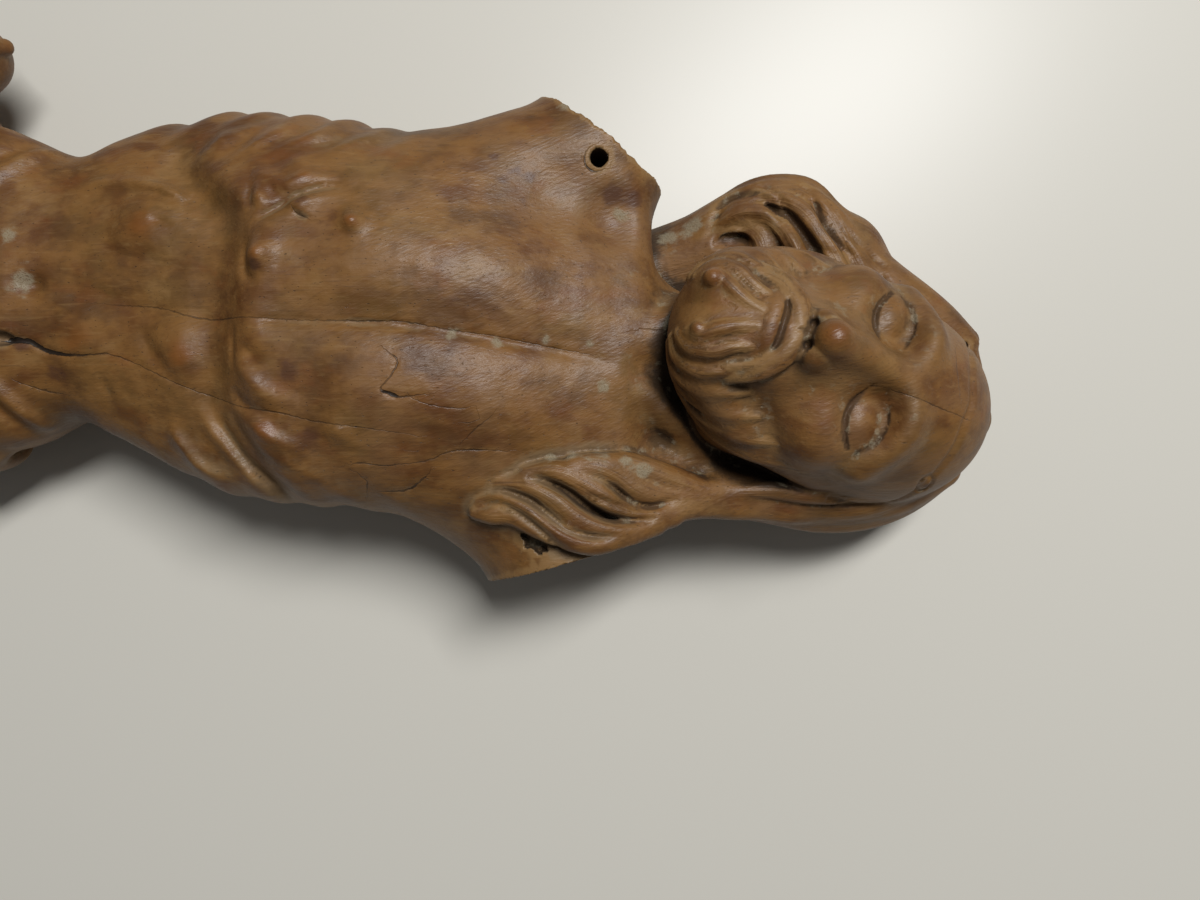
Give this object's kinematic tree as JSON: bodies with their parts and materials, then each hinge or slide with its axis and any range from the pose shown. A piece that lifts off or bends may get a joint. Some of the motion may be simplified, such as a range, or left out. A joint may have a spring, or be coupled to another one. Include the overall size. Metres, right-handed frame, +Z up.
{
  "type": "crucifix corpus figure",
  "caption": "Hand-carved wooden corpus of a crucifix: bearded figure with long hair and knotted loincloth, arms missing at flat pinned joints.",
  "frame": {"origin": "centre of the figure's outline seen from the front, in the plane that the flat spots of its back rest on", "axes": "the figure lies on its back: +X along the body towards the crown of the head, +Y towards the figure's own right side, +Z up out of its chest"},
  "size_m": [0.45, 0.1152, 0.0577],
  "materials": {
    "carved_wood": "fine-grained yellow-brown wood, worn to a satin wax gloss, orange-brown on high points, with dark and pale grime in the recesses and drying cracks"
  },
  "bodies": {
    "root": {"corpus": "carved_wood"}
  },
  "joints": []
}
